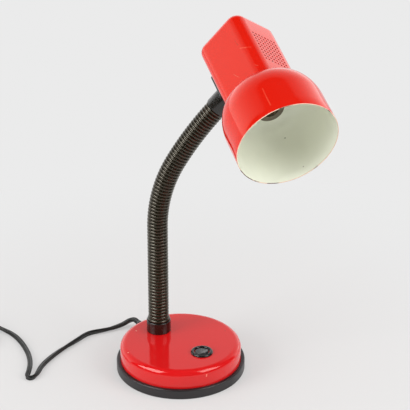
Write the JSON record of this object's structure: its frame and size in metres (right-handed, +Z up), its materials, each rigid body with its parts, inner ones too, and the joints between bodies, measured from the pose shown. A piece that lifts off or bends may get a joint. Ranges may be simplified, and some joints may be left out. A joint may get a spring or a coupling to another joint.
{
  "type": "desk lamp",
  "caption": "Desk lamp: round weighted base with rocker switch, ribbed gooseneck, vented square lamp housing with bell shade, and mains cord.",
  "frame": {"origin": "centre of the base's underside, on the desk", "axes": "+Z up, -Y towards the front, where the switch is, +Y towards the back, where the neck and the cord are"},
  "size_m": [0.3118, 0.4837, 0.3919],
  "materials": {
    "red_enamel": "gloss enamel",
    "shade_enamel": "gloss enamel outside, off-white inside",
    "black_enamel": "semi-gloss",
    "ring_rubber": "matt",
    "felt": "felt",
    "zinc_steel": "zinc plated",
    "cast_ballast": "as cast",
    "switch_plastic": "gloss",
    "rocker_plastic": "gloss",
    "brass": "plain",
    "plug_pin_metal": "nickel plated",
    "cord_pvc": "semi-matt",
    "relief_pvc": "semi-matt",
    "plug_plastic": "moulded",
    "tie_plastic": "strap",
    "holder_plastic": "moulded thermoset",
    "sleeve_black": "satin"
  },
  "bodies": {
    "base": {"base_cover": "red_enamel", "base_ring": "ring_rubber", "base_pad": "felt", "bottom_plate": "zinc_steel", "plate_screws": "zinc_steel", "ballast": "cast_ballast", "switch_housing": "switch_plastic", "switch_terminals": "brass", "strain_relief": "relief_pvc", "cord_tail": "cord_pvc", "cord_clamp": "holder_plastic", "clamp_screws": "zinc_steel", "terminal_block": "holder_plastic", "terminal_screws": "zinc_steel", "base_leads": "cord_pvc", "lower_collar": "black_enamel", "neck_stem": "zinc_steel", "neck_nut": "zinc_steel", "neck_washer": "zinc_steel", "sleeve_00": "sleeve_black", "cord": "cord_pvc", "cord_coil": "cord_pvc", "cord_tie": "tie_plastic", "plug": "plug_plastic", "plug_pins": "plug_pin_metal"},
    "rocker": {"switch_rocker": "rocker_plastic"},
    "neck_01": {"sleeve_01": "sleeve_black", "neck_core_01": "zinc_steel"},
    "neck_02": {"sleeve_02": "sleeve_black", "neck_core_02": "zinc_steel"},
    "neck_03": {"sleeve_03": "sleeve_black", "neck_core_03": "zinc_steel"},
    "neck_04": {"sleeve_04": "sleeve_black", "neck_core_04": "zinc_steel"},
    "neck_05": {"sleeve_05": "sleeve_black", "neck_core_05": "zinc_steel"},
    "neck_06": {"sleeve_06": "sleeve_black", "neck_core_06": "zinc_steel"},
    "neck_07": {"sleeve_07": "sleeve_black", "neck_core_07": "zinc_steel"},
    "neck_08": {"sleeve_08": "sleeve_black", "neck_core_08": "zinc_steel"},
    "neck_09": {"sleeve_09": "sleeve_black", "neck_core_09": "zinc_steel"},
    "neck_10": {"sleeve_10": "sleeve_black", "neck_core_10": "zinc_steel"},
    "neck_11": {"sleeve_11": "sleeve_black", "head_stem": "zinc_steel", "upper_collar": "black_enamel", "head_nut": "zinc_steel"},
    "head": {"mounting_plate": "black_enamel", "casing": "red_enamel", "shade": "shade_enamel", "shade_screws": "zinc_steel", "holder_bracket": "zinc_steel", "holder_nut": "zinc_steel", "lampholder": "holder_plastic", "lamp_screw_shell": "brass", "lamp_contact": "brass", "head_leads": "cord_pvc"}
  },
  "joints": [
    {"name": "switch_rock", "type": "hinge", "parent": "base", "child": "rocker", "pos_m": [0, -0.0335, 0.03], "axis": [1, 0, 0], "range_deg": [0, 18]},
    {"name": "neck_bend_low", "type": "hinge", "parent": "base", "child": "neck_01", "pos_m": [0, 0.035, 0.06704], "axis": [0.7716, 0.6361, 0], "range_deg": [-9.5, 9.5]},
    {"name": "neck_bend_low_2", "type": "hinge", "parent": "neck_01", "child": "neck_02", "pos_m": [0, 0.035, 0.08959], "axis": [0.7716, 0.6361, 0], "range_deg": [-9.5, 9.5]},
    {"name": "neck_sway", "type": "hinge", "parent": "neck_02", "child": "neck_03", "pos_m": [0, 0.035, 0.11214], "axis": [-0.6361, 0.7716, 0], "range_deg": [-9.5, 9.5]},
    {"name": "neck_bend_low_3", "type": "hinge", "parent": "neck_03", "child": "neck_04", "pos_m": [0, 0.035, 0.13468], "axis": [0.7716, 0.6361, 0], "range_deg": [-9.5, 9.5]},
    {"name": "neck_bend_low_4", "type": "hinge", "parent": "neck_04", "child": "neck_05", "pos_m": [0, 0.035, 0.15723], "axis": [0.7716, 0.6361, 0], "range_deg": [-9.5, 9.5]},
    {"name": "neck_sway_2", "type": "hinge", "parent": "neck_05", "child": "neck_06", "pos_m": [0.00094, 0.03386, 0.17971], "axis": [-0.6302, 0.7645, 0.1357], "range_deg": [-9.5, 9.5]},
    {"name": "neck_bend_high", "type": "hinge", "parent": "neck_06", "child": "neck_07", "pos_m": [0.00388, 0.03029, 0.20175], "axis": [0.7716, 0.6361, 0], "range_deg": [-9.5, 9.5]},
    {"name": "neck_bend_high_2", "type": "hinge", "parent": "neck_07", "child": "neck_08", "pos_m": [0.00876, 0.02438, 0.22293], "axis": [0.7716, 0.6361, 0], "range_deg": [-9.5, 9.5]},
    {"name": "neck_sway_3", "type": "hinge", "parent": "neck_08", "child": "neck_09", "pos_m": [0.01541, 0.0163, 0.24289], "axis": [-0.5493, 0.6664, 0.5041], "range_deg": [-9.5, 9.5]},
    {"name": "neck_bend_high_3", "type": "hinge", "parent": "neck_09", "child": "neck_10", "pos_m": [0.02297, 0.00713, 0.26204], "axis": [0.7716, 0.6361, 0], "range_deg": [-9.5, 9.5]},
    {"name": "neck_bend_high_4", "type": "hinge", "parent": "neck_10", "child": "neck_11", "pos_m": [0.03117, -0.00282, 0.28054], "axis": [0.7716, 0.6361, 0], "range_deg": [-9.5, 9.5]},
    {"name": "head_swivel", "type": "hinge", "parent": "neck_11", "child": "head", "pos_m": [0.04991, -0.02554, 0.31721], "axis": [0.4046, -0.4908, 0.7716], "range_deg": [-60, 60]}
  ],
  "couplings": [
    {"joint": "neck_bend_low_2", "follows": "neck_bend_low", "ratio": 1},
    {"joint": "neck_bend_low_3", "follows": "neck_bend_low", "ratio": 1},
    {"joint": "neck_bend_low_4", "follows": "neck_bend_low", "ratio": 1},
    {"joint": "neck_sway_2", "follows": "neck_sway", "ratio": 1},
    {"joint": "neck_bend_high_2", "follows": "neck_bend_high", "ratio": 1},
    {"joint": "neck_sway_3", "follows": "neck_sway", "ratio": 1},
    {"joint": "neck_bend_high_3", "follows": "neck_bend_high", "ratio": 1},
    {"joint": "neck_bend_high_4", "follows": "neck_bend_high", "ratio": 1}
  ]
}
